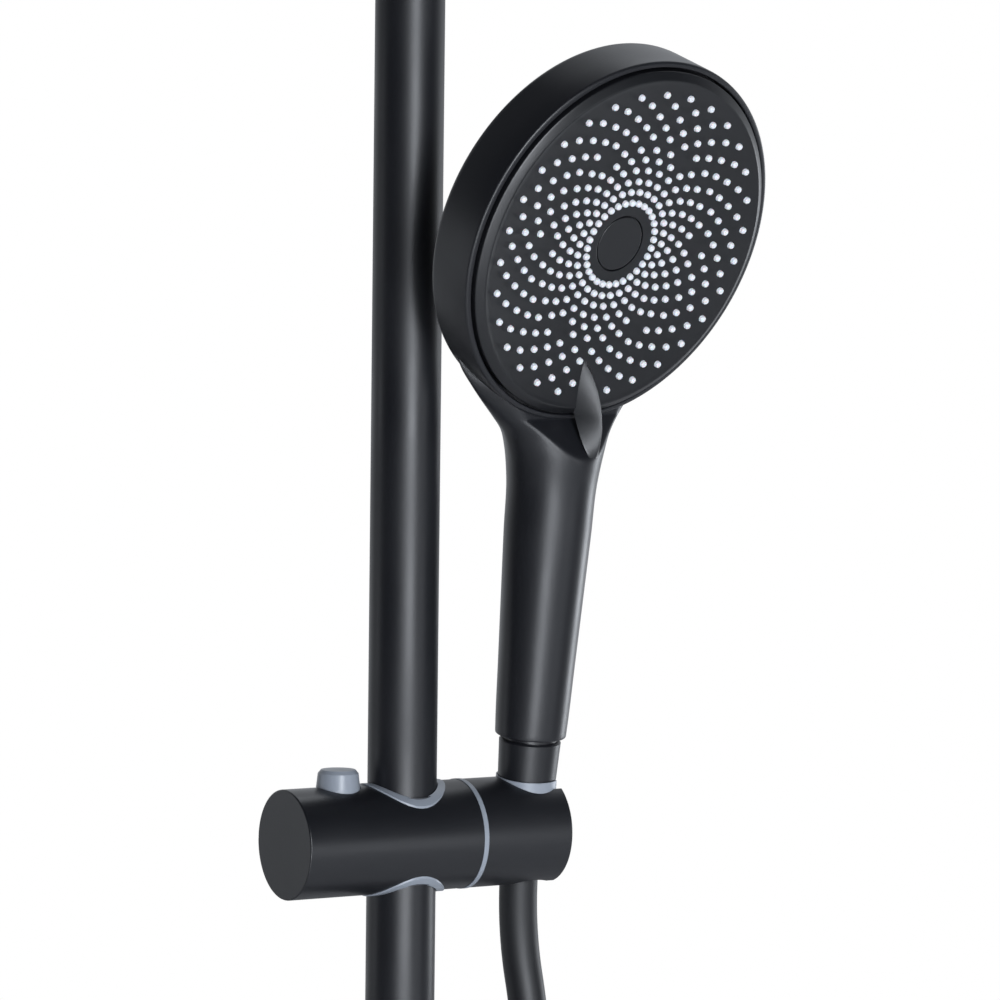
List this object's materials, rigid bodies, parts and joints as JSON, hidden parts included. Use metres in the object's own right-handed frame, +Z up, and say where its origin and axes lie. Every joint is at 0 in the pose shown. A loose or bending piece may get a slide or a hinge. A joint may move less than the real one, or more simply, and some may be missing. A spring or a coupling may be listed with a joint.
{
  "type": "shower column",
  "caption": "Wall-mounted shower column: round riser rail, sliding barrel holder with round-headed handset and hose, diverter, and an overhead rain head on an arm.",
  "frame": {"origin": "axis of the supply thread at the wall plane, behind the lower wall flange", "axes": "+Z up along the riser rail, +Y into the wall, so the rain head reaches out along -Y; +X is the side of the rail that carries the handset"},
  "size_m": [0.285, 0.602, 1.7242],
  "materials": {
    "black_metal": "satin black coating",
    "black_plastic": "satin black moulded plastic",
    "face_black": "smooth black moulded plastic",
    "grey_plastic": "smooth grey moulded plastic",
    "silicone": "soft pale silicone",
    "seal_rubber": "moulded rubber",
    "hose_sheath": "smooth matte black sheath",
    "brass": "machined brass",
    "steel": "plain steel",
    "inner_plastic": "natural moulded plastic"
  },
  "bodies": {
    "column": {"supply_flange": "black_metal", "supply_pipe": "brass", "diverter_body": "black_metal", "diverter_cartridge": "inner_plastic", "cartridge_nut": "brass", "outlet_nipple": "brass", "check_valve": "inner_plastic", "riser_nut": "black_metal", "riser_rail": "black_metal", "lower_wall_flange": "black_metal", "upper_wall_flange": "black_metal", "lower_wall_plate": "steel", "upper_wall_plate": "steel", "lower_rail_bracket": "black_metal", "upper_rail_bracket": "black_metal", "wall_screws": "steel", "bracket_bolts": "steel", "clamp_screws": "steel", "shower_arm": "black_metal", "arm_sleeve": "black_metal", "arm_seals": "seal_rubber", "arm_ball": "brass", "hose_loop": "hose_sheath", "hose_outlet_nut": "black_metal", "lower_hose_washer": "seal_rubber"},
    "diverter_knob": {"diverter_knob": "black_metal", "knob_spindle": "brass"},
    "ball_bearing": {"ball_liner": "inner_plastic"},
    "rain_head": {"ball_nut": "black_metal", "ball_ring": "seal_rubber", "rain_shell": "black_metal", "rain_plate": "black_metal", "rain_nozzles": "silicone", "rain_screws": "steel"},
    "glide": {"glide_sleeve": "inner_plastic"},
    "slider": {"slider_barrel": "black_plastic", "barrel_end_cap": "black_plastic", "rail_bush": "grey_plastic", "swivel_ring": "grey_plastic", "spring_washer": "steel", "button_spring": "steel", "hose_middle": "hose_sheath"},
    "brake": {"brake_shoe": "inner_plastic"},
    "button": {"release_button": "grey_plastic"},
    "holder": {"handset_holder": "black_plastic", "socket_liner": "grey_plastic", "pivot_bolt": "steel", "hose_top": "hose_sheath"},
    "handset": {"handset_shell": "black_plastic", "handset_waterway": "black_plastic", "inlet_filter": "inner_plastic", "hose_cone_nut": "black_metal", "upper_hose_washer": "seal_rubber", "flow_disc": "inner_plastic", "face_pivot": "steel", "chamber_seal": "seal_rubber"},
    "spray_face": {"spray_plate": "face_black", "spray_nozzles": "silicone", "face_cap": "face_black", "selector_fin": "face_black"}
  },
  "joints": [
    {"name": "slider_slide", "type": "slide", "parent": "column", "child": "glide", "axis": [0, 0, 1], "range_m": [-0.27, 0.29], "deforming": ["hose_loop"]},
    {"name": "slider_swivel", "type": "hinge", "parent": "glide", "child": "slider", "pos_m": [0, -0.062, 0.67], "axis": [0, 0, 1], "range_deg": [-60, 30], "deforming": ["hose_middle"]},
    {"name": "holder_tilt", "type": "hinge", "parent": "slider", "child": "holder", "pos_m": [0.04, -0.062, 0.67], "axis": [1, 0, 0], "range_deg": [-2, 50], "deforming": ["hose_top"]},
    {"name": "handset_turn", "type": "hinge", "parent": "holder", "child": "handset", "pos_m": [0.05075, -0.062, 0.67], "axis": [0, -0.134, 0.991], "range_deg": [-5, 45]},
    {"name": "spray_select", "type": "hinge", "parent": "handset", "child": "spray_face", "pos_m": [0.05544, -0.11581, 0.88435], "axis": [0.1817, -0.9129, -0.3655], "range_deg": [-18, 18]},
    {"name": "button_press", "type": "slide", "parent": "slider", "child": "button", "axis": [0, 0, -1], "range_m": [0, 0.003], "stiffness_N_per_m": 600, "deforming": ["button_spring"]},
    {"name": "shoe_release", "type": "slide", "parent": "slider", "child": "brake", "axis": [-1, 0, 0], "range_m": [0, 0.0006]},
    {"name": "diverter_turn", "type": "hinge", "parent": "column", "child": "diverter_knob", "pos_m": [0, -0.062, 0], "axis": [0, -1, 0], "range_deg": [-90, 90]},
    {"name": "rain_tilt_x", "type": "hinge", "parent": "column", "child": "ball_bearing", "pos_m": [0, -0.462, 1.225], "axis": [1, 0, 0], "range_deg": [-13, 13]},
    {"name": "rain_tilt_y", "type": "hinge", "parent": "ball_bearing", "child": "rain_head", "pos_m": [0, -0.462, 1.225], "axis": [0, 1, 0], "range_deg": [-13, 13]}
  ],
  "couplings": [
    {"joint": "shoe_release", "follows": "button_press", "ratio": 0.2}
  ]
}
